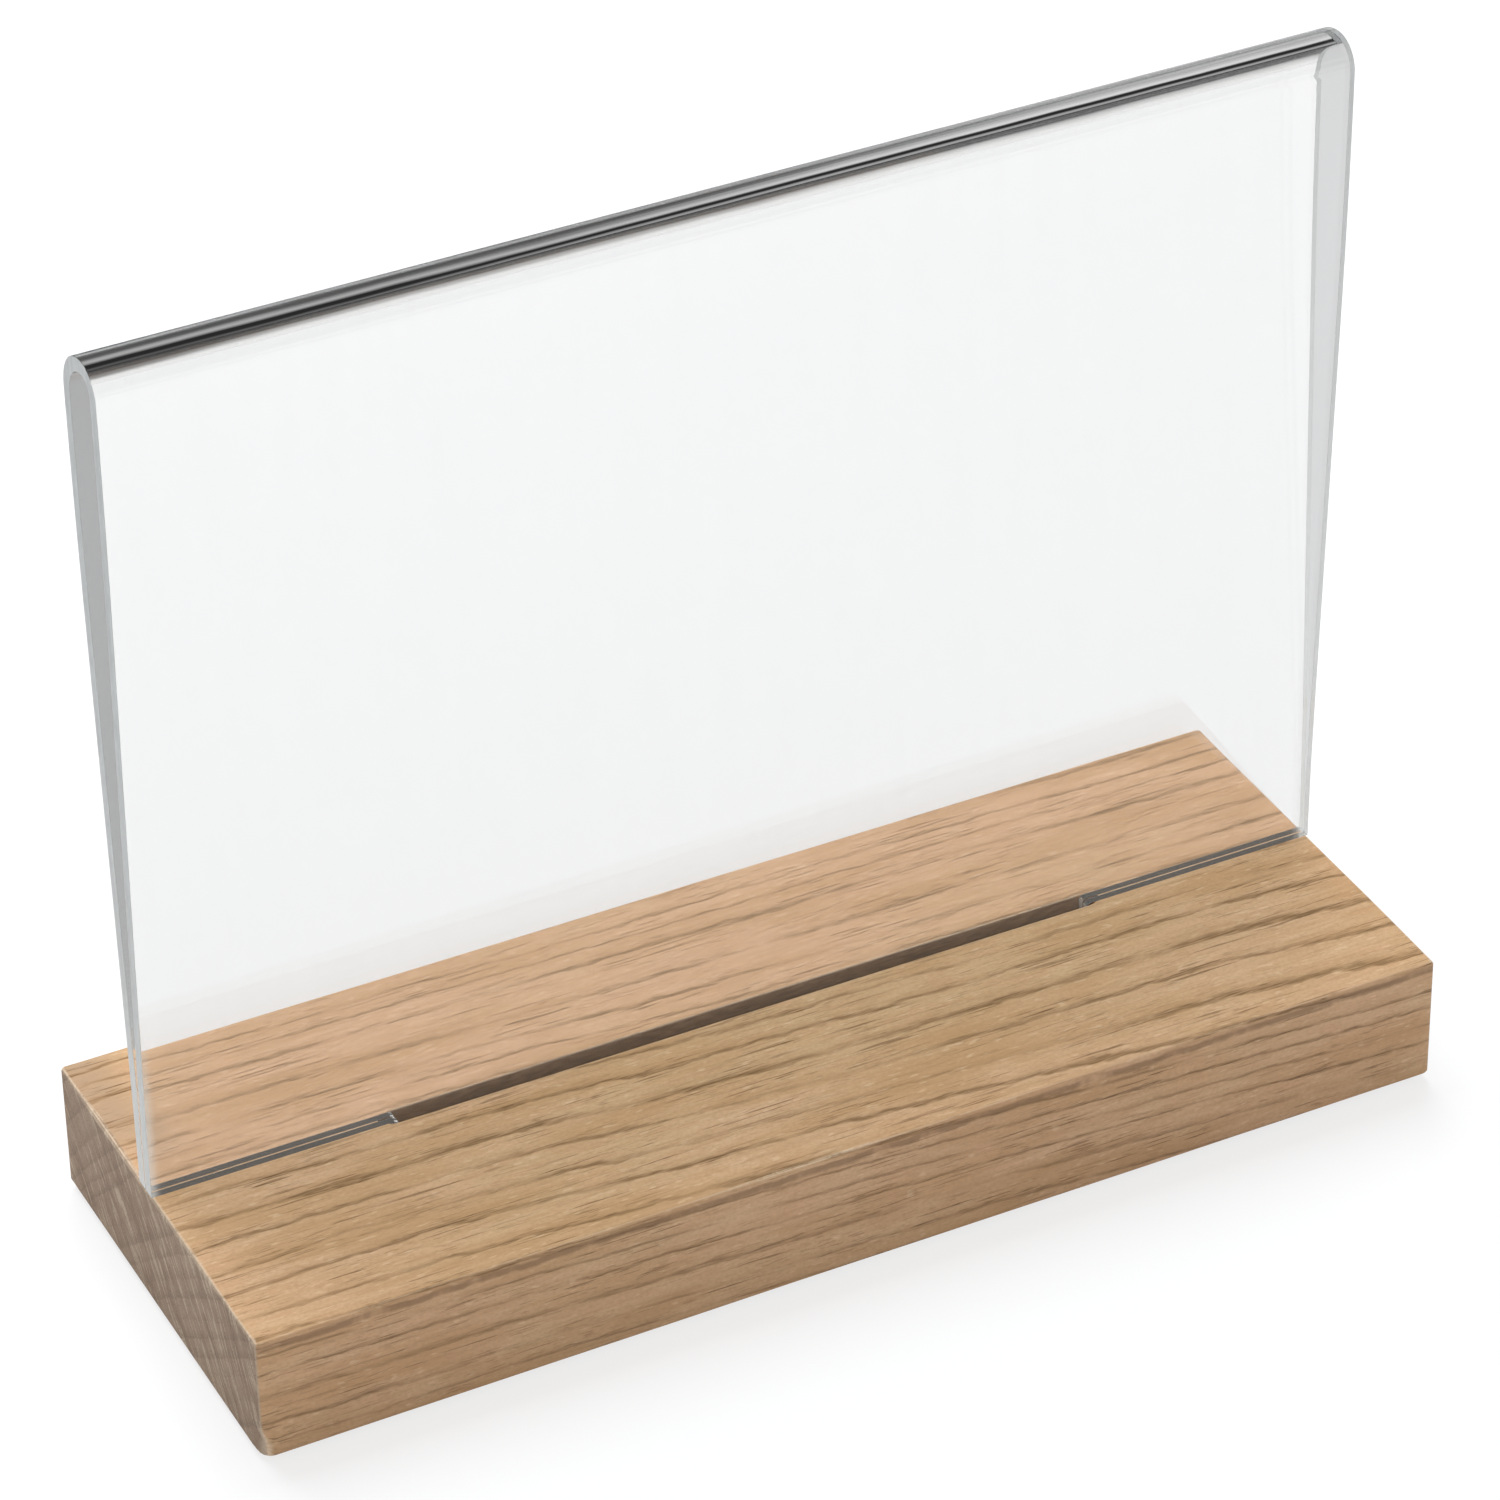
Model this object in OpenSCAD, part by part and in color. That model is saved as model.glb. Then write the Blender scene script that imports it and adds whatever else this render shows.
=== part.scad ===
// Table-top sign holder: a clear sleeve, folded from one sheet, that stands in a slot in an oak block.
// The origin is under the middle of the block, on the surface that it stands on. The front is -Y.

/* [Block] */
// Length of the block, and of the sleeve above it, to suit the long side of the card
base_l = 210; // [150:1:300]
// Depth of the block, front to back
base_d = 79; // [60:1:120]
// Thickness of the block
base_h = 23; // [18:0.5:40]
// Radius that the long edges and corners of the block are eased to
base_ease = 0.6; // [0.4:0.1:3]

/* [Slot] */
// How far the slot lies behind the middle of the block
slot_back = 3.5; // [0:0.1:10]
// Depth of the slot below the top of the block
slot_depth = 12; // [6:0.5:14]
// Running gap between the sleeve's foot and each long wall of the slot
slot_side_gap = 0.2; // [0.15:0.05:0.6]
// Gap between each end of the tab and the round end of the slot
slot_end_gap = 0.5; // [0.2:0.1:2]
// Gap between the bottom of the tab and the floor of the slot
slot_floor_gap = 1; // [0.5:0.1:3]

/* [Sleeve] */
// Height of the sleeve above the block
sleeve_h = 152; // [120:1:240]
// Thickness of the acrylic sheet
sheet_t = 2.4; // [1.5:0.1:3]
// Gap between the two leaves at the foot, which grips the card
foot_gap = 0.2; // [0.2:0.1:1.5]
// Radius of the front half of the fold, on the outside
fold_front_r = 4.8; // [4:0.1:6]
// Radius of the back half of the fold, on the outside
fold_back_r = 8.2; // [6:0.1:10]
// Height over which each leaf curves out of upright below the fold
leaf_curve_h = 42; // [20:1:60]
// Height over which each leaf curves back to upright above the block
foot_curve_h = 26; // [10:1:40]

/* [Tab] */
// Length of the tab that drops into the slot
tab_l = 125; // [60:1:140]
// Radius at the tab's lower corners
tab_corner_r = 2; // [0.5:0.1:4]
// Radius left by the cutter where the tab meets a shoulder
tab_root_r = 0.8; // [0.3:0.1:1.5]

/* [Bumpers] */
// Diameter of each bumper under the block
bumper_d = 10; // [6:0.5:16]
// Height of each bumper
bumper_h = 1.2; // [0.8:0.1:3]
// Radius of the bumper's rounded rim
bumper_rim_r = 0.7; // [0.2:0.1:0.7]
// Distance from the block's sides to each bumper's middle
bumper_inset = 12; // [10:0.5:25]

/* [Hidden] */
$fn = 48;
// Overrun of every cut past the face that it opens
cut_over = 1;
// Steps in each half of the fold, and in each curve of a leaf
fold_steps = 18;
leaf_steps = 12;

// Levels above the surface that the holder stands on
base_z = bumper_h;
seat_z = base_z + base_h;
top_z = seat_z + sleeve_h;

// The sleeve's foot and the slot that it drops into share one middle line
foot_t = 2 * sheet_t + foot_gap;
slot_w = foot_t + 2 * slot_side_gap;
slot_r = slot_w / 2;
slot_end_room = slot_r - sqrt(pow(slot_r, 2) - pow(foot_t / 2, 2));
slot_l = tab_l + 2 * (slot_end_room + slot_end_gap + tab_root_r);
tab_h = slot_depth - slot_floor_gap;

// The fold's two halves meet at its crest, which is set so that the leaves flare alike to both sides
crest_y = slot_back + (fold_front_r - fold_back_r) / 2;
flare = (fold_front_r + fold_back_r - foot_t) / 2;
// The leaf between its two curves is straight, and this is its slope, as sideways over up
front_run = sleeve_h - fold_front_r;
back_run = sleeve_h - fold_back_r;

// A leaf's outer face stands this far out at height h above the block, between the foot and the
// fold: a parabola out of upright, a straight stretch, and a parabola back to upright.
function flare_at(h, run) =
    let(slope = flare / (run - leaf_curve_h / 2 - foot_curve_h / 2))
    h < foot_curve_h ? slope * pow(h, 2) / (2 * foot_curve_h)
    : h < run - leaf_curve_h ? slope * (h - foot_curve_h / 2)
    : flare - slope * pow(run - h, 2) / (2 * leaf_curve_h);

// How steeply that face leans out at the same height
function lean_at(h, run) =
    let(slope = flare / (run - leaf_curve_h / 2 - foot_curve_h / 2))
    h < foot_curve_h ? slope * h / foot_curve_h
    : h < run - leaf_curve_h ? slope
    : slope * (run - h) / leaf_curve_h;

// Heights of a leaf's points, from the foot up to the fold
function leaf_heights(run) = concat(
    [for (i = [0:leaf_steps]) foot_curve_h * i / leaf_steps],
    [for (i = [0:leaf_steps]) run - leaf_curve_h * (1 - i / leaf_steps)]);

// One face of a leaf: side is -1 for the front leaf and 1 for the back one, and inset is how far the
// face lies inside the outer one, measured square to the sheet
function leaf_face(side, run, inset) =
    [for (h = leaf_heights(run))
        let(lean = lean_at(h, run), long = sqrt(1 + pow(lean, 2)))
        [slot_back + side * (foot_t / 2 + flare_at(h, run) - inset / long),
         seat_z + h + inset * lean / long]];

// One face of the fold, from the front leaf over the crest to the back leaf
function fold_face(inset) = concat(
    [for (i = [1:fold_steps])
        let(a = 90 * i / fold_steps)
        [crest_y - (fold_front_r - inset) * cos(a), top_z - fold_front_r + (fold_front_r - inset) * sin(a)]],
    [for (i = [1:fold_steps - 1])
        let(a = 90 * (1 - i / fold_steps))
        [crest_y + (fold_back_r - inset) * cos(a), top_z - fold_back_r + (fold_back_r - inset) * sin(a)]]);

function reversed(points) = [for (i = [len(points) - 1:-1:0]) points[i]];

// The sleeve's whole section: up the outer face and over the fold, then back along the inner face
function sleeve_section() =
    let(outer = concat([[slot_back - foot_t / 2, seat_z - tab_h]], leaf_face(-1, front_run, 0),
                       fold_face(0), reversed(leaf_face(1, back_run, 0)),
                       [[slot_back + foot_t / 2, seat_z - tab_h]]),
        inner = concat([[slot_back - foot_gap / 2, seat_z - tab_h]], leaf_face(-1, front_run, sheet_t),
                       fold_face(sheet_t), reversed(leaf_face(1, back_run, sheet_t)),
                       [[slot_back + foot_gap / 2, seat_z - tab_h]]))
    concat(outer, reversed(inner));

// A rectangle with quarter-round corners, centred on the origin
module eased_rectangle(w, h, r) {
    square([w - 2 * r, h], center = true);
    square([w, h - 2 * r], center = true);
    for (x = [-1, 1], y = [-1, 1])
        translate([x * (w / 2 - r), y * (h / 2 - r)])
            circle(r = r);
}

// A block with all of its edges eased to one radius
module eased_block(l, d, h, r) {
    intersection() {
        translate([0, 0, -h / 2])
            linear_extrude(h)
                eased_rectangle(l, d, r);
        rotate([90, 0, 0])
            translate([0, 0, -d / 2])
                linear_extrude(d)
                    eased_rectangle(l, h, r);
        rotate([90, 0, 90])
            translate([0, 0, -l / 2])
                linear_extrude(l)
                    eased_rectangle(d, h, r);
    }
}

// The slot as the cutter leaves it, with round ends
module slot_outline() {
    square([slot_l - 2 * slot_r, slot_w], center = true);
    for (x = [-1, 1])
        translate([x * (slot_l / 2 - slot_r), 0])
            circle(r = slot_r);
}

module oak_base() {
    color([0.76, 0.60, 0.42])
    difference() {
        translate([0, 0, base_z + base_h / 2])
            eased_block(base_l, base_d, base_h, base_ease);
        translate([0, slot_back, seat_z - slot_depth])
            linear_extrude(slot_depth + cut_over)
                slot_outline();
    }
}

// The sheet's front outline: the full width above the block, and the tab below it
module sheet_outline() {
    translate([-base_l / 2, seat_z])
        square([base_l, sleeve_h + cut_over]);
    translate([-tab_l / 2, seat_z - tab_h + tab_corner_r])
        square([tab_l, tab_h - tab_corner_r + cut_over]);
    translate([-tab_l / 2 + tab_corner_r, seat_z - tab_h])
        square([tab_l - 2 * tab_corner_r, tab_h]);
    for (x = [-1, 1]) {
        translate([x * (tab_l / 2 - tab_corner_r), seat_z - tab_h + tab_corner_r])
            circle(r = tab_corner_r);
        translate([x * tab_l / 2, seat_z - tab_root_r])
            root_fillet(x);
    }
}

// The small fillet that the cutter leaves between the tab and a shoulder
module root_fillet(side) {
    difference() {
        translate([side > 0 ? -cut_over : -tab_root_r, 0])
            square([tab_root_r + cut_over, tab_root_r + cut_over]);
        translate([side * tab_root_r, 0])
            circle(r = tab_root_r);
    }
}

module acrylic_sleeve() {
    color([0.86, 0.90, 0.91, 0.45])
    intersection() {
        rotate([90, 0, 90])
            translate([0, 0, -base_l / 2])
                linear_extrude(base_l)
                    polygon(sleeve_section());
        rotate([90, 0, 0])
            translate([0, 0, -base_d])
                linear_extrude(2 * base_d)
                    sheet_outline();
    }
}

// One bumper, with a rounded rim where it meets the table
module bumper(x, y) {
    color([0.88, 0.90, 0.90, 0.6])
    translate([x * (base_l / 2 - bumper_inset), y * (base_d / 2 - bumper_inset), 0])
        rotate_extrude()
            intersection() {
                square([bumper_d / 2, bumper_h]);
                union() {
                    square([bumper_d / 2 - bumper_rim_r, bumper_h]);
                    translate([0, bumper_rim_r])
                        square([bumper_d / 2, bumper_h - bumper_rim_r]);
                    translate([bumper_d / 2 - bumper_rim_r, bumper_rim_r])
                        circle(r = bumper_rim_r);
                }
            }
}

module bumper_front_left() {
    bumper(-1, -1);
}

module bumper_front_right() {
    bumper(1, -1);
}

module bumper_back_left() {
    bumper(-1, 1);
}

module bumper_back_right() {
    bumper(1, 1);
}

oak_base();
acrylic_sleeve();
bumper_front_left();
bumper_front_right();
bumper_back_left();
bumper_back_right();
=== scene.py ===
"""A clear folded sleeve standing in an oak block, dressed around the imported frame. Metres, front is -Y."""
import math

import bpy
import numpy as np
from mathutils import Matrix, Vector


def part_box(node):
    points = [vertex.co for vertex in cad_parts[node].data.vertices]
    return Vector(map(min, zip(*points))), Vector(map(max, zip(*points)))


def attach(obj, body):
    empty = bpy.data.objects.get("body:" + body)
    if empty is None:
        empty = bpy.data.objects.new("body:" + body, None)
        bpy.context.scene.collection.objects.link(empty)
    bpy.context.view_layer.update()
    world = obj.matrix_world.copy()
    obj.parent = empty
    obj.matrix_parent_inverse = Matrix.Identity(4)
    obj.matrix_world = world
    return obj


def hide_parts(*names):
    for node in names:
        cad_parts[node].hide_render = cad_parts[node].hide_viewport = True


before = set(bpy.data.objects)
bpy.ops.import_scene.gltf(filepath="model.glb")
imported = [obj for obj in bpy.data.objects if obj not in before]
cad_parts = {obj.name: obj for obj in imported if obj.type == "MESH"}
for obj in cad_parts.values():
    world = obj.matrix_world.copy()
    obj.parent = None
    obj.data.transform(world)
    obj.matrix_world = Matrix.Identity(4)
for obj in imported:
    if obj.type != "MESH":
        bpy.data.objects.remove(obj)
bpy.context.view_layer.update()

MM = 0.001
PHOTO_SIDE = 1500

# Camera, fitted to the block's corners and the sleeve's outline in the photograph
CAMERA_AZIMUTH = -26.395
CAMERA_ELEVATION = 34.516
CAMERA_ROLL = -0.887
CAMERA_DISTANCE = 1026.1 * MM
CAMERA_TARGET = (0.1 * MM, 0.0, 76.0 * MM)
FOCAL_PIXELS = 6511.0
SENSOR_WIDTH = 36.0
# Enough for light that runs along inside the sheet, and for lamp light that goes through many walls
LIGHT_BOUNCES = 128
CLEAR_BOUNCES = 24

# The block and its slot. KNOCK is the radius at a corner that has been knocked rounder.
BASE_EASE = 0.6 * MM
SLOT_BACK = 3.5 * MM
SLOT_DEPTH = 12.0 * MM
SLOT_SIDE_GAP = 0.2 * MM
SLOT_END_GAP = 0.5 * MM
LIP_EASE = 0.35 * MM
KNOCK = 3.5 * MM

# The sleeve: one sheet, folded over
SHEET = 2.4 * MM
FOOT_GAP = 0.2 * MM
FOLD_FRONT = 4.8 * MM
FOLD_BACK = 8.2 * MM
LEAF_CURVE = 42.0 * MM
FOOT_CURVE = 26.0 * MM
TAB_LENGTH = 125.0 * MM
TAB_CORNER = 2.0 * MM
TAB_ROOT = 0.8 * MM
EDGE_BEVEL = 0.32 * MM
# The shoulders touch the wood only at its high spots, so there is air under nearly all of them
SEAT_AIR = 0.03 * MM

# What the frame says of where things are
BASE_LOW, BASE_HIGH = (np.array(v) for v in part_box("oak_base"))
SLEEVE_LOW, SLEEVE_HIGH = (np.array(v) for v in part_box("acrylic_sleeve"))
HALF_LENGTH = BASE_HIGH[0]
HALF_DEPTH = BASE_HIGH[1]
SEAT = BASE_HIGH[2]
CREST = SLEEVE_HIGH[2]
FOOT = 2 * SHEET + FOOT_GAP
SLOT_RADIUS = FOOT / 2 + SLOT_SIDE_GAP
SLOT_END_ROOM = SLOT_RADIUS - math.sqrt(SLOT_RADIUS**2 - (FOOT / 2) ** 2)
SLOT_HALF = TAB_LENGTH / 2 + SLOT_END_ROOM + SLOT_END_GAP + TAB_ROOT


def smoothstep(low, high, value):
    """Rises from 0 at low to 1 at high on the cubic 3t^2 - 2t^3."""
    t = np.clip((value - low) / (high - low), 0.0, 1.0)
    return t * t * (3 - 2 * t)


def make_mesh(name, points, faces):
    """A mesh object at the origin from an array of points and a list of faces."""
    mesh = bpy.data.meshes.new(name)
    mesh.from_pydata([tuple(p) for p in points.tolist()], [], faces)
    mesh.validate()
    obj = bpy.data.objects.new(name, mesh)
    bpy.context.scene.collection.objects.link(obj)
    return obj


def grid_faces(rows, columns, index=None, wrap=False):
    """Quads of a grid of points, joined round the columns where wrap is true."""
    index = np.arange(rows * columns).reshape(rows, columns) if index is None else index
    right = np.roll(index, -1, axis=1) if wrap else index[:, 1:]
    left = index if wrap else index[:, :-1]
    quads = np.stack([left[:-1], right[:-1], right[1:], left[1:]], axis=-1).reshape(-1, 4)
    return quads.tolist()


def smooth_by_angle(obj, degrees):
    """Smooth shading over the whole mesh, broken where faces meet at more than this angle."""
    obj.data.polygons.foreach_set("use_smooth", np.ones(len(obj.data.polygons), dtype=bool))
    obj.data.set_sharp_from_angle(angle=math.radians(degrees))
    obj.data.update()


def apply_modifiers(obj):
    """The object's mesh becomes what its modifiers make of it."""
    depsgraph = bpy.context.evaluated_depsgraph_get()
    mesh = bpy.data.meshes.new_from_object(obj.evaluated_get(depsgraph))
    old = obj.data
    obj.modifiers.clear()
    obj.data = mesh
    bpy.data.meshes.remove(old)
    mesh.name = obj.name


class Value:
    """A shader socket that takes arithmetic: each operator adds the Math node for it."""

    def __init__(self, graph, socket):
        self.graph = graph
        self.socket = socket

    def math(self, operation, *others):
        return self.graph.math(operation, self, *others)

    def __add__(self, other):
        return self.math("ADD", other)

    def __radd__(self, other):
        return self.math("ADD", other)

    def __sub__(self, other):
        return self.math("SUBTRACT", other)

    def __rsub__(self, other):
        return self.graph.math("SUBTRACT", other, self)

    def __mul__(self, other):
        return self.math("MULTIPLY", other)

    def __truediv__(self, other):
        return self.math("DIVIDE", other)

    def __pow__(self, other):
        return self.math("POWER", other)

    def fraction(self):
        return self.math("FRACT")

    def floor(self):
        return self.math("FLOOR")

    def clamp(self):
        return self.math("MAXIMUM", 0.0).math("MINIMUM", 1.0)

    def over(self, low, high):
        """Smoothly 0 below low and 1 above high, or the other way round where high is the lower."""
        return self.graph.node("ShaderNodeMapRange", {"interpolation_type": "SMOOTHSTEP"},
                               {"Value": self, "From Min": low, "From Max": high})


class Graph:
    """One node tree, built by calls: every node comes from node()."""

    def __init__(self, tree):
        self.tree = tree
        tree.nodes.clear()

    def plug(self, socket, value):
        if isinstance(value, Value):
            self.tree.links.new(value.socket, socket)
        elif isinstance(value, bpy.types.NodeSocket):
            self.tree.links.new(value, socket)
        elif socket.type == "RGBA" and len(value) == 3:
            socket.default_value = (*value, 1.0)
        else:
            socket.default_value = value

    def add(self, kind, settings=None, sockets=None):
        """The node itself. Sockets are named by name, identifier or number."""
        made = self.tree.nodes.new(kind)
        for key, value in (settings or {}).items():
            setattr(made, key, value)
        for key, value in (sockets or {}).items():
            named = [s for s in made.inputs if key in (s.identifier, s.name)]
            self.plug(made.inputs[key] if isinstance(key, int) else named[0], value)
        return made

    def node(self, kind, settings=None, sockets=None):
        """A node's first output, as a Value."""
        return Value(self, self.add(kind, settings, sockets).outputs[0])

    def math(self, operation, *operands):
        return self.node("ShaderNodeMath", {"operation": operation}, dict(enumerate(operands)))

    def mix(self, factor, first, second):
        """Colours mixed by factor."""
        made = self.add("ShaderNodeMix", {"data_type": "RGBA"},
                        {"Factor_Float": factor, "A_Color": first, "B_Color": second})
        return Value(self, next(s for s in made.outputs if s.identifier == "Result_Color"))

    def point(self, x, y, z):
        return self.node("ShaderNodeCombineXYZ", None, {0: x, 1: y, 2: z})

    def noise(self, x, y, z, detail=2.0, roughness=0.5):
        """Fractal noise about 0.5 at this point, one cycle per unit."""
        where = self.point(x, y, z)
        return self.node("ShaderNodeTexNoise", None,
                         {"Vector": where, "Scale": 1.0, "Detail": detail, "Roughness": roughness})


def surface_material(name):
    """A new material, its graph and its Principled shader, which feeds the output."""
    material = bpy.data.materials.new(name)
    material.use_nodes = True
    graph = Graph(material.node_tree)
    shader = graph.add("ShaderNodeBsdfPrincipled")
    output = graph.add("ShaderNodeOutputMaterial", None, {"Surface": shader.outputs[0]})
    return material, graph, shader, output


def object_millimetres(graph):
    """The point on the surface in the object's own frame, as three Values in millimetres."""
    coordinates = graph.add("ShaderNodeTexCoord")
    split = graph.add("ShaderNodeSeparateXYZ", None, {0: coordinates.outputs["Object"]})
    return [Value(graph, s) * 1000.0 for s in split.outputs]


def oak_material():
    """Rift-sawn oak as a solid: rings about a log axis that runs along the block, each starting with a
    thin dark row of open pores, with short pores and long fibres between them. The sawn ends, marked by
    the end_grain attribute, show the rings crossed by pale rays. The slot's walls are a painted shade,
    darker and browner than the rest."""
    material, g, shader, _ = surface_material("oak")
    x, y, z = object_millimetres(g)
    end = Value(g, g.add("ShaderNodeAttribute", {"attribute_name": "end_grain"}).outputs["Fac"])
    slot = Value(g, g.add("ShaderNodeAttribute", {"attribute_name": "slot_wall"}).outputs["Fac"])

    # The grain lies a little askew, wanders slowly along the board, and wavers within each ring
    drift = g.noise(x / 115.0, y / 60.0, z / 60.0 + 3.0, 1.0) - 0.5
    sway = g.noise(x / 26.0 + 11.0, y / 15.0, z / 15.0, 1.0) - 0.5
    waver = g.noise(x / 5.0, y / 2.5, z / 2.5 + 7.0, 2.0) - 0.5
    across = y - x * 0.10 + drift * 7.0 + sway * 1.8 + waver * 1.1
    height = z + x * 0.10 + drift * 3.0 + waver * 0.5

    # Rings about an axis well below and in front of the block
    log_y, log_z, ring = -150.0, -190.0, 3.3
    radius = g.math("SQRT", (across - log_y) ** 2.0 + (height - log_z) ** 2.0)
    round_log = g.math("ARCTAN2", height - log_z, across - log_y) * 250.0
    phase = radius / ring + (g.noise(radius / 12.0, 0.0, 0.0, 1.0) - 0.5) * 2.0
    within = phase.fraction()
    number = phase.floor()
    strength = g.node("ShaderNodeTexWhiteNoise", {"noise_dimensions": "1D"}, {"W": number})
    lasting = g.noise(x / 24.0, number * 7.3, 2.0, 2.0)
    weight = strength * 0.35 + lasting.over(0.36, 0.58) * 0.65
    fine = g.noise(x / 3.4, y / 0.34, z / 0.34, 1.0, 0.5)
    core = within.over(0.26, 0.12) * within.over(0.0, 0.09) * (fine.over(0.30, 0.58) * 0.6 + 0.4) * weight
    early = within.over(0.62, 0.10) * within.over(0.0, 0.05) * weight
    late = within.over(0.55, 1.0) * weight

    # Between the rings: pores in drifts, short dark dashes, fibres, and the cells' own speckle
    long_pores = g.noise(x / 11.0 + 40.0, y / 0.42, z / 0.42, 1.0, 0.4)
    drifts = g.noise(x / 20.0, y / 4.0, z / 4.0 + 20.0, 1.0).over(0.40, 0.64)
    dashes = long_pores.over(0.60, 0.70) * (drifts * 0.85 + 0.15)
    pores = fine.over(0.58, 0.72) * (drifts * 0.5 + early * 0.5 + 0.15)
    fibres = g.noise(x / 9.0, y / 0.7, z / 0.7, 3.0, 0.6)
    speckle = g.noise(x / 0.7, y / 0.45, z / 0.45, 2.0, 0.6)
    flecks = g.noise(x / 2.2 + 9.0, y / 0.6, z / 0.6, 0.0).over(0.68, 0.80)
    mottle = g.noise(x / 9.0 + 2.0, y / 2.2, z / 2.2, 2.0)
    patches = g.noise(x / 46.0 + 7.0, y / 8.0, z / 8.0, 2.0)
    broad = g.noise(x / 75.0, y / 34.0 + 5.0, z / 34.0, 1.0)

    pale = g.mix(broad.over(0.34, 0.66), (0.676, 0.430, 0.262), (0.636, 0.422, 0.240))
    toned = g.mix(mottle.over(0.32, 0.68) * 0.55, pale, (0.622, 0.362, 0.206))
    warm = g.mix(patches.over(0.42, 0.70) * 0.85, toned, (0.545, 0.320, 0.160))
    threaded = g.mix(fibres.over(0.36, 0.74) * 0.40, warm, (0.446, 0.258, 0.116))
    grained = g.mix(speckle.over(0.34, 0.72) * 0.32, threaded, (0.424, 0.246, 0.112))
    flecked = g.mix(flecks * 0.36, grained, (0.800, 0.570, 0.370))
    # Darker towards the left end, behind the sleeve
    flecked = g.mix(x.over(-92.0, -102.0) * y.over(6.0, 22.0) * 0.8, flecked, (0.370, 0.255, 0.162))
    ringed = g.mix(late * 0.20, flecked, (0.480, 0.290, 0.150))
    banded = g.mix(early * 0.34, ringed, (0.390, 0.224, 0.105))
    lined = g.mix(core * 0.88, banded, (0.235, 0.132, 0.056))
    lengthwise = g.mix((pores * 0.55 + dashes * 0.72).clamp(), lined, (0.220, 0.120, 0.052))

    # The arrises: a painted highlight makes them paler, all but the front one, and a ragged line of
    #     # painted shade runs just under the front arris
    arris = Value(g, g.add("ShaderNodeAttribute", {"attribute_name": "arris"}).outputs["Fac"])
    ragged = g.noise(x / 9.0, 0.0, 8.0, 3.0, 0.6)
    front = (y + HALF_DEPTH / MM).over(0.5, 0.2)
    under = z + ragged * 2.4 - SEAT / MM
    shade_line = under.over(-1.2, -0.5) * under.over(0.7, 0.1) * front * ragged.over(0.30, 0.52)
    lengthwise = g.mix(shade_line * 0.66, lengthwise, (0.215, 0.118, 0.055))
    lengthwise = g.mix(arris * (1.0 - front) * speckle.over(0.2, 0.6) * 0.7, lengthwise, (0.86, 0.70, 0.52))

    # End grain: greyer, with pale rays that fan out from the log's axis across the rings
    rays = g.noise(round_log / 0.75, radius / 8.0, x / 9.0, 1.0, 0.5)
    thin_rays = g.noise(round_log / 0.34, radius / 4.5 + 5.0, x / 9.0, 1.0, 0.5)
    coarse = g.noise(round_log / 3.2, radius / 16.0 + 9.0, x / 9.0, 2.0)
    dots = g.noise(x / 5.5, y / 0.36, z / 0.36, 1.0, 0.4)
    butt = g.mix(coarse.over(0.34, 0.66), (0.265, 0.176, 0.114), (0.352, 0.248, 0.168))
    butt = g.mix(rays.over(0.54, 0.66) * 0.66, butt, (0.540, 0.425, 0.308))
    butt = g.mix(thin_rays.over(0.60, 0.70) * 0.42, butt, (0.500, 0.382, 0.270))
    butt = g.mix((dots.over(0.58, 0.70) * 0.55 + early * 0.32).clamp(), butt, (0.142, 0.090, 0.058))
    # A painted highlight along the arrises of the sawn ends
    butt = g.mix(arris * 0.5, butt, (0.62, 0.50, 0.38))
    faces = g.mix(end, lengthwise, butt)
    # Painted shade inside the slot: its walls are darker and streaked, standing in for the recess's shade
    cut = g.noise(x / 3.0, y / 1.5, z / 0.8, 3.0, 0.6).over(0.30, 0.70)
    slot_shade = g.mix(cut, (0.340, 0.160, 0.050), (0.620, 0.330, 0.130))
    g.plug(shader.inputs["Base Color"], g.mix(slot, faces, slot_shade))

    relief = fibres * 0.15 - pores * 0.6 - dashes * 0.8 - core * 0.7 + rays * end * 0.5 + speckle * 0.25
    g.plug(shader.inputs["Roughness"], 0.50 + fibres * 0.14 + pores * 0.12 + end * 0.1)
    bump = g.node("ShaderNodeBump", None, {"Height": relief, "Strength": 0.6, "Distance": 0.0002})
    g.plug(shader.inputs["Normal"], bump)
    g.plug(shader.inputs["Specular IOR Level"], 0.35)
    return material


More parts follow.
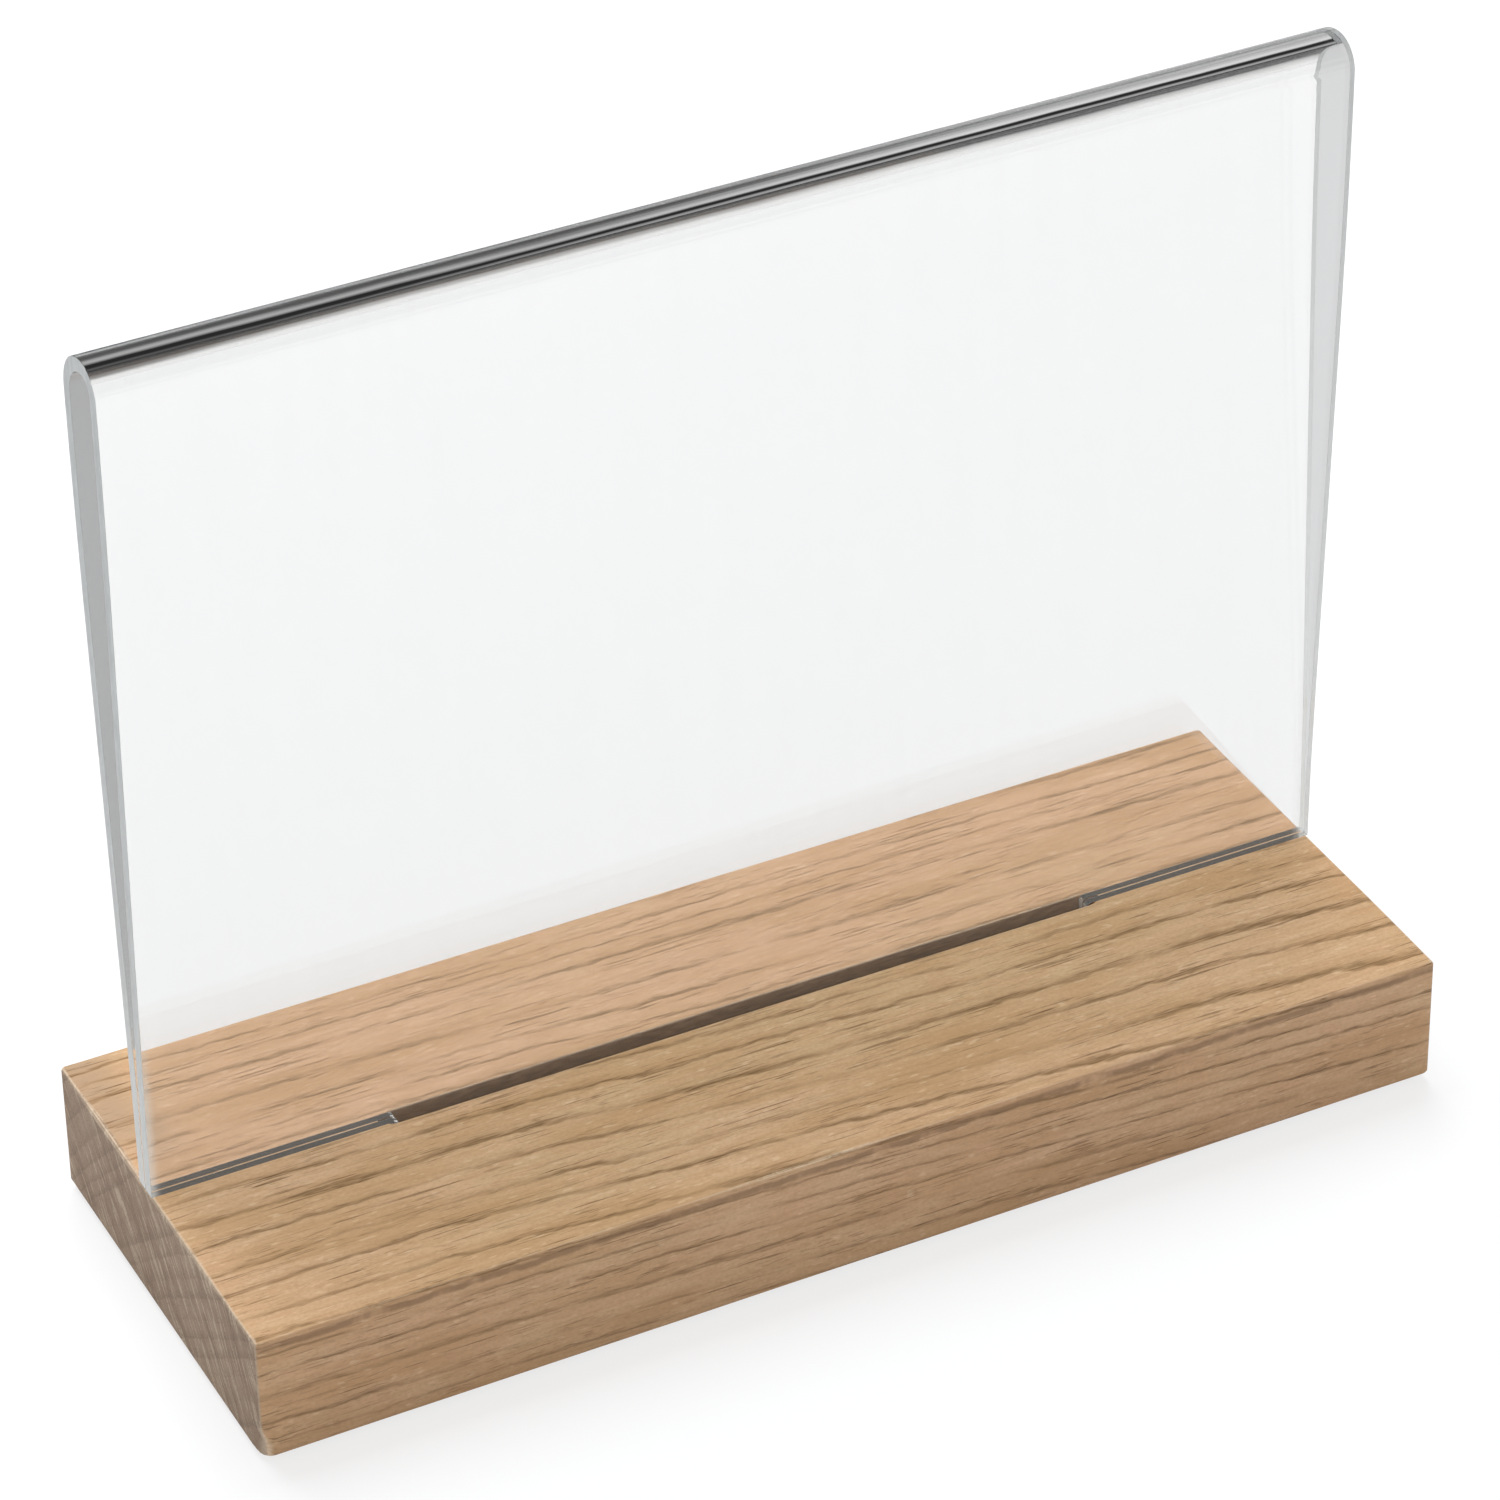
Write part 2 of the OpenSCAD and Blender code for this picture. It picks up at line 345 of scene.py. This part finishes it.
def acrylic_material():
    """Cast acrylic: clear and polished, with a faint cool grey in its depth and a trace of haze from
    wiping, rippled a little where heat has softened it at the fold. The faces where the sheet was cut,
    marked by the cut_edge attribute, are frosted. It lets lamp light through to what stands behind it."""
    material, g, shader, output = surface_material("acrylic")
    x, y, z = object_millimetres(g)
    near_fold = z.over(CREST / MM - 26.0, CREST / MM - 3.0)
    ripple = g.noise(x / 34.0, y / 30.0, z / 5.0, 2.0)
    hairlines = g.noise(x / 2.0, y / 2.0, z / 60.0, 2.0, 0.7)
    tint = g.mix(hairlines.over(0.4, 0.8), (0.919, 0.917, 0.914), (0.908, 0.906, 0.903))
    g.plug(shader.inputs["Base Color"], tint)
    g.plug(shader.inputs["Roughness"], hairlines.over(0.55, 0.9) * 0.03)
    g.plug(shader.inputs["IOR"], 1.49)
    g.plug(shader.inputs["Transmission Weight"], 1.0)
    bump = g.node("ShaderNodeBump", None,
                  {"Height": ripple * near_fold, "Strength": 0.12, "Distance": 0.0009})
    g.plug(shader.inputs["Normal"], bump)

    # Frost scatters light to both of its sides. It covers the cut edges, with a trace of it all over the
    # leaves, and more low down near the two ends.
    cut = Value(g, g.add("ShaderNodeAttribute", {"attribute_name": "cut_edge"}).outputs["Fac"])
    saw = g.noise(x / 0.5, y / 1.2, z / 9.0, 2.0, 0.6)
    near_side = g.add("ShaderNodeBsdfDiffuse", None, {"Color": (0.925, 0.94, 0.93)})
    far_side = g.add("ShaderNodeBsdfTranslucent", None, {"Color": (0.925, 0.94, 0.93)})
    frost = g.add("ShaderNodeMixShader", None, {0: 0.5, 1: near_side.outputs[0], 2: far_side.outputs[0]})
    near_end = x.math("ABSOLUTE").over(HALF_LENGTH / MM - 2.0, HALF_LENGTH / MM - 0.3)
    haze = (1.0 - near_fold) * 0.021 + near_end * z.over(SEAT / MM + 40.0, SEAT / MM + 15.0) * 0.16
    amount = (cut * (saw * 0.30 + 0.60) + haze).clamp()
    skin = g.add("ShaderNodeMixShader", None, {0: amount, 1: shader.outputs[0], 2: frost.outputs[0]})

    clear = g.add("ShaderNodeBsdfTransparent", None, {"Color": (0.863, 0.880, 0.880)})
    for_lamps = g.add("ShaderNodeLightPath").outputs["Is Shadow Ray"]
    both = g.add("ShaderNodeMixShader", None, {0: for_lamps, 1: skin.outputs[0], 2: clear.outputs[0]})
    g.plug(output.inputs["Surface"], both.outputs[0])
    depth = g.add("ShaderNodeVolumeAbsorption", None, {"Color": (0.30, 0.36, 0.36), "Density": 3.0})
    g.plug(output.inputs["Volume"], depth.outputs[0])
    return material


def bumper_material():
    """Clear soft rubber, a little cloudy, with a fine matt skin."""
    material, g, shader, _ = surface_material("bumper")
    x, y, z = object_millimetres(g)
    cloud = g.noise(x / 1.6, y / 1.6, z / 1.6, 3.0)
    skin = g.noise(x / 0.12, y / 0.12, z / 0.12, 1.0)
    g.plug(shader.inputs["Base Color"], g.mix(cloud, (0.78, 0.80, 0.80), (0.88, 0.89, 0.88)))
    g.plug(shader.inputs["Roughness"], 0.32 + cloud * 0.2)
    g.plug(shader.inputs["Transmission Weight"], 0.55)
    g.plug(shader.inputs["IOR"], 1.45)
    bump = g.node("ShaderNodeBump", None, {"Height": skin, "Strength": 0.2, "Distance": 0.00005})
    g.plug(shader.inputs["Normal"], bump)
    return material


# How many points each stretch of the block's loops has
LONG_STEPS = 96
SHORT_STEPS = 40
CORNER_STEPS = 6


def arc(centre, radius, start, stop, steps):
    """Points on a circle from start to stop degrees, without the last."""
    a = np.radians(start + (stop - start) * np.arange(steps) / steps)
    return np.stack([centre[0] + radius * np.cos(a), centre[1] + radius * np.sin(a)], axis=-1)


def run(start, stop, steps):
    """Points on a straight line, without the last, closer together towards its ends."""
    t = (0.5 - 0.5 * np.cos(np.pi * np.arange(steps) / steps))[:, None]
    return np.array(start) * (1 - t) + np.array(stop) * t


def block_loop(half_l, half_d, corner):
    """A rectangle with round corners, anticlockwise from the front left: four straight runs and four arcs."""
    a, b = half_l - corner, half_d - corner
    return np.concatenate([
        run((-a, -half_d), (a, -half_d), LONG_STEPS), arc((a, -b), corner, -90, 0, CORNER_STEPS),
        run((half_l, -b), (half_l, b), SHORT_STEPS), arc((a, b), corner, 0, 90, CORNER_STEPS),
        run((a, half_d), (-a, half_d), LONG_STEPS), arc((-a, b), corner, 90, 180, CORNER_STEPS),
        run((-half_l, b), (-half_l, -b), SHORT_STEPS), arc((-a, -b), corner, 180, 270, CORNER_STEPS)])


def slot_loop(grow):
    """The slot's outline, a straight run each side and a half circle at each end, grown outwards by grow.
    Its points match those of block_loop one for one."""
    radius = SLOT_RADIUS + grow
    reach = SLOT_HALF - SLOT_RADIUS
    ends = SHORT_STEPS + 2 * CORNER_STEPS
    loop = np.concatenate([
        run((-reach, -radius), (reach, -radius), LONG_STEPS), arc((reach, 0.0), radius, -90, 90, ends),
        run((reach, radius), (-reach, radius), LONG_STEPS), arc((-reach, 0.0), radius, 90, 270, ends)])
    return loop + np.array([0.0, SLOT_BACK])


def oak_block():
    """The block as one skin of loops that grow out from the middle of the underside, up round the eased
    edges, in over the top to the slot, over its lip and down its wall to its floor."""
    low, high = BASE_LOW[2], BASE_HIGH[2]
    turns = np.radians(np.linspace(0.0, 90.0, 8))
    points = []

    def add(loop, z):
        points.append(np.column_stack([loop, np.full(len(loop), z) if np.isscalar(z) else z]))

    def eased(turn, bottom):
        inset = BASE_EASE * (1 - math.sin(turn))
        corner = max(1.3 * BASE_EASE - inset, 0.3 * BASE_EASE)
        loop = block_loop(HALF_LENGTH - inset, HALF_DEPTH - inset, corner)
        rise = BASE_EASE * (1 - math.cos(turn))
        return loop, (low + rise if bottom else high - rise)

    middle = block_loop(HALF_LENGTH * 0.5, HALF_DEPTH * 0.02, HALF_DEPTH * 0.01)
    outer = eased(turns[0], True)[0]
    for share in (0.0, 0.5):
        add(middle * (1 - share) + outer * share, low)
    for turn in turns:
        add(*eased(turn, True))
    for share in (0.01, 0.03, 0.07, 0.12, 0.18, 0.24, 0.32, 0.6, 0.9, 0.99):
        add(eased(math.pi / 2, True)[0], low + BASE_EASE + (high - low - 2 * BASE_EASE) * share)
    for turn in turns[::-1]:
        add(*eased(turn, False))
    rim = eased(turns[0], False)[0]
    lip = slot_loop(LIP_EASE)
    for share in (0.008, 0.3, 0.6, 0.85, 0.96):
        add(rim * (1 - share) + lip * share, high)
    for turn in np.radians(np.linspace(0.0, 90.0, 5)):
        add(slot_loop(LIP_EASE * (1 - math.sin(turn))), high - LIP_EASE * (1 - math.cos(turn)))
    for share in (0.5, 1.0):
        add(slot_loop(0.0), high - LIP_EASE - (SLOT_DEPTH - LIP_EASE) * share)
    spine = slot_loop(-0.96 * SLOT_RADIUS)
    add(slot_loop(0.0) * 0.1 + spine * 0.9, high - SLOT_DEPTH)
    count = len(points[0])
    points = np.array(points)
    rows = len(points)

    # A hand with sandpaper: the eased edges, rows 3 to 8 and 21 to 26, reach up to 0.18 mm further in at
    # some places than at others
    u = np.arange(count) / count * 2 * math.pi
    wander = 0.04 * MM * (np.sin(5 * u + 1.0) + 0.7 * np.sin(11 * u) + 0.5 * np.sin(23 * u + 2.0)) - 0.09 * MM
    on_edge = [row for row in range(rows) if 3 <= row <= 8 or 21 <= row <= 26]
    away = points[on_edge, :, :2] / np.linalg.norm(points[on_edge, :, :2], axis=-1, keepdims=True)
    points[on_edge, :, :2] += away * wander[None, :, None]

    # The upright edge at the front left has been knocked rounder at its lower end
    flat = points.reshape(-1, 3)
    x, y, z = flat.T
    near = smoothstep(low + 7.0 * MM, low + 1.5 * MM, z)
    out, ahead = -(x + HALF_LENGTH - KNOCK), -(y + HALF_DEPTH - KNOCK)
    reach = np.hypot(out, ahead)
    past = np.where((out > 0) & (ahead > 0), np.maximum(reach - KNOCK, 0.0), 0.0)
    pulled = near * past / np.maximum(reach, MM)
    flat[:, 0] += out * pulled
    flat[:, 1] += ahead * pulled

    faces = grid_faces(rows, count, wrap=True)
    first = list(range(count))[::-1]
    last = list(range((rows - 1) * count, rows * count))
    return make_mesh("oak_block", flat, faces + [first, last])


def mark_cuts(obj):
    """Three values on each point: end_grain is 1 on the block's sawn ends, where the surface faces along
    it, slot_wall is 1 inside the slot, below its lip, and arris is 1 where the surface turns over an edge."""
    count = len(obj.data.vertices)
    normals, places = np.empty(count * 3, np.float32), np.empty(count * 3, np.float32)
    obj.data.vertex_normals.foreach_get("vector", normals)
    obj.data.vertices.foreach_get("co", places)
    normals, places = normals.reshape(-1, 3), places.reshape(-1, 3)
    at_end = np.abs(places[:, 0]) > HALF_LENGTH - 2 * BASE_EASE
    inside = (np.abs(places[:, 0]) <= SLOT_HALF) & (np.abs(places[:, 1] - SLOT_BACK) <= SLOT_RADIUS * 1.001)
    below = (places[:, 2] < SEAT - 0.4 * LIP_EASE) & (places[:, 2] > SEAT - 1.01 * SLOT_DEPTH)
    turned = 1.0 - np.abs(normals).max(axis=1)
    for name, value in (("end_grain", smoothstep(0.45, 0.85, np.abs(normals[:, 0])) * at_end),
                        ("slot_wall", (inside & below).astype(float)),
                        ("arris", smoothstep(0.02, 0.20, turned) * ~inside)):
        attribute = obj.data.attributes.new(name, "FLOAT", "POINT")
        attribute.data.foreach_set("value", value.astype(np.float32))


def leaf_out(h, run_up):
    """How far a leaf's outer face stands out from the foot at height h, with its slope: a parabola out of
    upright above the block, a straight stretch, and a parabola back to upright below the fold."""
    flare = (FOLD_FRONT + FOLD_BACK - FOOT) / 2
    slope = flare / (run_up - LEAF_CURVE / 2 - FOOT_CURVE / 2)
    low = slope * h**2 / (2 * FOOT_CURVE)
    middle = slope * (h - FOOT_CURVE / 2)
    high = flare - slope * (run_up - h) ** 2 / (2 * LEAF_CURVE)
    out = np.where(h < FOOT_CURVE, low, np.where(h < run_up - LEAF_CURVE, middle, high))
    lean = np.where(h < FOOT_CURVE, slope * h / FOOT_CURVE,
                    np.where(h < run_up - LEAF_CURVE, slope, slope * (run_up - h) / LEAF_CURVE))
    return out, lean


def sheet_path():
    """The middle of the sheet in section, from the foot of the front leaf over the fold to the foot of the
    back leaf, as rows of y, z and the height above the seat: straight down in the slot, the leaf's
    curves above it, and a quarter circle each side of the crest."""
    tab = SEAT - SLEEVE_LOW[2]
    corner = TAB_CORNER * (1 - np.cos(np.radians(np.linspace(0.0, 90.0, 8))))
    root = TAB_ROOT * np.sin(np.radians(np.linspace(90.0, 0.0, 6)))
    below = np.concatenate([-tab + corner, [-tab * 0.5], -root[:-1]])

    def leaf(side, fold_radius):
        run_up = CREST - SEAT - fold_radius
        bend = run_up - LEAF_CURVE
        h = np.concatenate([np.linspace(0.0, FOOT_CURVE, 14), np.linspace(FOOT_CURVE, bend, 10)[1:],
                            np.linspace(bend, run_up, 20)[1:]])
        out, lean = leaf_out(h, run_up)
        long = np.sqrt(1 + lean**2)
        y = SLOT_BACK + side * (FOOT / 2 + out - SHEET / 2 / long)
        z = SEAT + SEAT_AIR + h * (1 - SEAT_AIR / run_up) + SHEET / 2 * lean / long
        foot_y = np.full(len(below), SLOT_BACK + side * (FOOT - SHEET) / 2)
        foot = np.column_stack([foot_y, SEAT + SEAT_AIR + below, below])
        return np.concatenate([foot, np.column_stack([y, z, h])])

    crest_y = SLOT_BACK + (FOLD_FRONT - FOLD_BACK) / 2
    a = np.radians(np.linspace(0.0, 90.0, 25)[1:])
    front = np.column_stack([crest_y - (FOLD_FRONT - SHEET / 2) * np.cos(a),
                             CREST - FOLD_FRONT + (FOLD_FRONT - SHEET / 2) * np.sin(a), np.ones(24)])
    a = a[::-1][1:]
    back = np.column_stack([crest_y + (FOLD_BACK - SHEET / 2) * np.cos(a),
                            CREST - FOLD_BACK + (FOLD_BACK - SHEET / 2) * np.sin(a), np.ones(23)])
    return np.concatenate([leaf(-1, FOLD_FRONT), front, back, leaf(1, FOLD_BACK)[::-1]])


def tab_half_width(h):
    """Half the tab's width at height h, below the seat: round at its lower corners, and hollowed out to the
    shoulders by a small fillet."""
    tab = SEAT - SLEEVE_LOW[2]
    up = np.clip(h + tab, 0.0, TAB_CORNER)
    corner = TAB_CORNER - np.sqrt(np.maximum(TAB_CORNER**2 - (TAB_CORNER - up) ** 2, 0.0))
    down = np.clip(-h, 0.0, TAB_ROOT)
    root = TAB_ROOT - np.sqrt(np.maximum(TAB_ROOT**2 - (TAB_ROOT - down) ** 2, 0.0))
    return TAB_LENGTH / 2 - corner + root


def acrylic_fold():
    """The sleeve: the sheet's middle surface, of the full width above the seat and of the tab's width below
    it, given its thickness and finely bevelled, polished edges."""
    y, z, heights = sheet_path().T
    inner, outer = 40, 14
    across = np.linspace(-1.0, 1.0, inner + 1)
    shoulder = np.linspace(0.0, 1.0, outer + 1)[1:]
    half = tab_half_width(heights)[:, None]
    wing = half + (HALF_LENGTH - half) * shoulder
    x = np.concatenate([-wing[:, ::-1], half * across, wing], axis=1)

    # Below the seat only the tab's columns are there, so only their points are kept and numbered
    kept = (heights >= 0)[:, None] | (np.abs(x) <= half + 1e-9)
    index = np.where(kept, np.cumsum(kept).reshape(kept.shape) - 1, -1)
    grid = np.stack([x, np.broadcast_to(y[:, None], x.shape), np.broadcast_to(z[:, None], x.shape)], axis=-1)
    quads = np.array(grid_faces(*index.shape, index=index))
    obj = make_mesh("acrylic_fold", grid[kept], quads[quads.min(axis=1) >= 0].tolist())

    solidify = obj.modifiers.new("thickness", "SOLIDIFY")
    solidify.thickness = SHEET
    solidify.offset = 0.0
    solidify.use_even_offset = True
    solidify.use_rim = True
    apply_modifiers(obj)
    bevel = obj.modifiers.new("polished edges", "BEVEL")
    bevel.width = EDGE_BEVEL
    bevel.segments = 2
    bevel.limit_method = "ANGLE"
    bevel.angle_limit = math.radians(50)
    bevel.use_clamp_overlap = True
    apply_modifiers(obj)
    return obj


def mark_cut_edges(obj):
    """A value on each face, cut_edge: 1 on the edges that face along the sleeve, 0.07 on the smoother lower
    edges of its shoulders and tab, and 0 everywhere else."""
    count = len(obj.data.polygons)
    normals, middles = np.empty(count * 3, np.float32), np.empty(count * 3, np.float32)
    obj.data.polygons.foreach_get("normal", normals)
    obj.data.polygons.foreach_get("center", middles)
    normals, middles = normals.reshape(-1, 3), middles.reshape(-1, 3)
    low = (middles[:, 2] < SEAT + 0.5 * MM) & (np.abs(normals[:, 1]) < 0.6)
    cut = np.where(np.abs(normals[:, 0]) > 0.95, 1.0, np.where(low, 0.07, 0.0))
    attribute = obj.data.attributes.new("cut_edge", "FLOAT", "FACE")
    attribute.data.foreach_set("value", cut.astype(np.float32))


def lights():
    """One broad soft lamp, above the object and behind it, so that the sleeve dims what is in front."""
    lamp = bpy.data.lights.new("softbox", "AREA")
    lamp.shape = "RECTANGLE"
    lamp.size, lamp.size_y = 1.0, 0.8
    lamp.energy = 20.4
    lamp.color = (0.97, 1.0, 1.045)
    obj = bpy.data.objects.new("softbox", lamp)
    obj.location = (0.02, 0.52, 1.05)
    obj.rotation_euler = (Vector((0.0, 0.0, 0.05)) - obj.location).to_track_quat("-Z", "Y").to_euler()
    obj.visible_glossy = obj.visible_transmission = False
    bpy.context.scene.collection.objects.link(obj)


class Seen:
    """How a ray came to the surroundings, each as 0 or 1: from the camera, by reflection or through
    something clear, by way of any reflection, by way of more than one, and through no more than one leaf
    of the sleeve."""

    def __init__(self, g):
        path = g.add("ShaderNodeLightPath")
        value = {s.name: Value(g, s) for s in path.outputs}
        self.camera = value["Is Camera Ray"]
        self.bent = (value["Is Glossy Ray"] + value["Is Transmission Ray"]).clamp()
        self.reflected = value["Glossy Depth"].clamp()
        self.again = (value["Glossy Depth"] - 1.0).clamp()
        self.one_leaf = value["Transmission Depth"].math("LESS_THAN", 3.0)


def grey(value):
    """A constant colour without hue."""
    return (value, value, value)


# What a ray sees that was mirrored more than once
TWICE_MIRRORED = 0.07
# Where the line of sight through the middle of the fold meets the floor: this far right for each unit back
SIGHT_SLOPE = 0.42
# Half the width of the fold's picture on the floor in millimetres, and how much it spreads to the back
SIGHT_HALF_WIDTH = 105.0
SIGHT_SPREAD = 0.1
# How much of the floor's white is its own and takes no shadow
FLOOR_GLOW = 0.76
FLOOR_HALF_SIDE = 1.25


def studio_world():
    """What surrounds the object. The camera sees white. Reflections see a dark studio with a low lit wall,
    brighter where a window is to the right, and a dim shelf of light over it. Straight through the sleeve
    the surroundings are white, but between 12 and 37 degrees to the right of +Y they fade nearly to black,
    from 21 to 7 degrees below the horizon, and are white again 30 degrees above it. In the photograph's
    view only the fold bends light that far. The rest is a soft fill, brighter low down at the front.
    Heading is the sine of the angle from +Y towards +X, and up the sine of the height."""
    world = bpy.data.worlds.new("studio")
    bpy.context.scene.world = world
    world.use_nodes = True
    g = Graph(world.node_tree)
    direction = g.add("ShaderNodeTexCoord").outputs["Generated"]
    split = g.add("ShaderNodeSeparateXYZ", None, {0: direction})
    right, back, up = (Value(g, s) for s in split.outputs)
    seen = Seen(g)
    heading = right / (g.math("SQRT", right * right + back * back) + 0.001)

    # The wall brightens from a little below the horizon up to a sill, and lies lower to the left
    window = heading.over(0.335, 0.44)
    height = up + heading.over(0.365, 0.325) * 0.07
    below_sill = ((0.24 - height) * (window * 7.0 + 8.5) - window * 0.85).clamp()
    lit_wall = (height.over(-0.08, 0.11) * 0.37 + window * 0.37 + 0.11) * below_sill
    shelf = (up + window * 0.03).over(0.30, 0.38) * up.over(0.58, 0.48) * (window * 0.31 + 0.085)
    wall = lit_wall + shelf + 0.02
    mirrored = g.mix(seen.again, g.point(wall, wall, wall), grey(TWICE_MIRRORED))

    # The fade is in two steps. Towards the fold's right end the first is the smaller, and at its left end
    # all is dimmer.
    ahead = heading.over(0.20, 0.25) * heading.over(0.60, 0.54) * back.over(0.0, 0.1) * up.over(0.50, 0.42)
    right_end, left_end = heading.over(0.390, 0.426), heading.over(0.335, 0.306)
    fade = up.over(-0.362, -0.266) * (0.46 - right_end * 0.18)
    fade = fade + (up + right_end * 0.012).over(-0.264, -0.122) * (0.46 + right_end * 0.18)
    straight = (1.06 - fade * ahead) * (1.0 - left_end * up.over(-0.36, -0.29) * ahead * 0.45)
    clear = g.mix(seen.reflected, g.point(straight, straight, straight), mirrored)

    fill = back.over(-0.1, -0.8) * up.over(0.75, 0.30) * 0.47 + 0.40
    colour = g.mix(seen.camera, g.mix(seen.bent, g.point(fill, fill, fill), clear), grey(1.0))
    background = g.add("ShaderNodeBackground", None, {"Color": colour, "Strength": 1.0})
    g.add("ShaderNodeOutputWorld", None, {"Surface": background.outputs[0]})


def floor():
    """A pale table top that keeps the object's shadow, and is white to the camera. Reflections see it
    white near the object and dark from there to the back, less so at the right. Through one leaf it is
    grey, and through both it is white near the object and gives way to the surroundings farther back."""
    side = FLOOR_HALF_SIDE
    corners = np.array([(-side, -side, 0.0), (side, -side, 0.0), (side, side, 0.0), (-side, side, 0.0)])
    obj = make_mesh("floor", corners, [[0, 1, 2, 3]])
    material, g, shader, output = surface_material("floor")
    g.plug(shader.inputs["Base Color"], grey(0.72))
    g.plug(shader.inputs["Roughness"], 0.9)
    g.plug(shader.inputs["Specular IOR Level"], 0.0)
    x, y, _ = object_millimetres(g)
    seen = Seen(g)

    # From -1 at the left end of the fold's picture on the floor to 1 at its right end
    rightwards = (x - y * SIGHT_SLOPE) / (y.math("MAXIMUM", 0.0) * SIGHT_SPREAD + SIGHT_HALF_WIDTH)
    mirrored = 1.0 - y.over(15.0, 260.0) * 0.81 - y.over(220.0, 400.0) * 0.10 + y.over(600.0, 1300.0) * 0.08
    mirrored = mirrored + rightwards.over(-0.1, 1.0) * y.over(160.0, 480.0) * 0.46
    mirrored = g.mix(seen.again, g.point(mirrored, mirrored, mirrored), grey(TWICE_MIRRORED))
    edge = rightwards.over(-0.4, 0.6) * 0.28 + 0.37
    straight = g.mix(seen.one_leaf, grey(1.0), g.point(edge, edge, edge))
    clear = g.mix(seen.reflected, straight, mirrored)
    lit = g.mix(seen.camera, clear, grey(1.0))

    # For the camera and clear things it glows and takes a shadow; for all other rays it is a plain floor
    white = g.add("ShaderNodeBsdfDiffuse", None, {"Color": g.mix(0.1, lit, grey(0.0))})
    glow = g.add("ShaderNodeEmission", None, {"Color": lit, "Strength": 1.0})
    own = g.add("ShaderNodeMixShader", None, {0: FLOOR_GLOW, 1: white.outputs[0], 2: glow.outputs[0]})
    looked_at = (seen.bent + seen.camera).clamp()
    solid = g.add("ShaderNodeMixShader", None, {0: looked_at, 1: shader.outputs[0], 2: own.outputs[0]})
    gone = seen.bent * (1.0 - seen.reflected) * (1.0 - seen.one_leaf) * y.over(300.0, 350.0)
    nothing = g.add("ShaderNodeBsdfTransparent")
    final = g.add("ShaderNodeMixShader", None, {0: gone, 1: solid.outputs[0], 2: nothing.outputs[0]})
    g.plug(output.inputs["Surface"], final.outputs[0])
    obj.data.materials.append(material)


def camera():
    """The photograph's camera: back from the target along its azimuth and elevation, then rolled."""
    azimuth, elevation = math.radians(CAMERA_AZIMUTH), math.radians(CAMERA_ELEVATION)
    back = Vector((math.sin(azimuth) * math.cos(elevation), -math.cos(azimuth) * math.cos(elevation),
                   math.sin(elevation)))
    data = bpy.data.cameras.new("camera")
    data.sensor_width = SENSOR_WIDTH
    data.lens = FOCAL_PIXELS / PHOTO_SIDE * SENSOR_WIDTH
    data.clip_start, data.clip_end = 0.05, 20.0
    obj = bpy.data.objects.new("camera", data)
    turn = (-back).to_track_quat("-Z", "Y").to_matrix().to_4x4()
    roll = Matrix.Rotation(math.radians(CAMERA_ROLL), 4, "Z")
    obj.matrix_world = Matrix.Translation(Vector(CAMERA_TARGET) + back * CAMERA_DISTANCE) @ turn @ roll
    bpy.context.scene.collection.objects.link(obj)
    bpy.context.scene.camera = obj


def dress(obj, material, body):
    """Gives a new piece its material and the body that it rides on."""
    obj.data.materials.clear()
    obj.data.materials.append(material)
    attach(obj, body)


def main():
    scene = bpy.context.scene
    scene.view_settings.view_transform = "Standard"
    scene.cycles.max_bounces = LIGHT_BOUNCES
    scene.cycles.transmission_bounces = LIGHT_BOUNCES
    scene.cycles.glossy_bounces = LIGHT_BOUNCES
    scene.cycles.transparent_max_bounces = CLEAR_BOUNCES
    camera()
    lights()
    studio_world()
    floor()

    block = oak_block()
    smooth_by_angle(block, 40)
    mark_cuts(block)
    dress(block, oak_material(), "base")
    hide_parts("oak_base")

    sleeve = acrylic_fold()
    smooth_by_angle(sleeve, 12)
    mark_cut_edges(sleeve)
    dress(sleeve, acrylic_material(), "sleeve")
    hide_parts("acrylic_sleeve")

    rubber = bumper_material()
    for name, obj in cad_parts.items():
        if name.startswith("bumper"):
            for slot in obj.material_slots:
                slot.material = rubber


main()
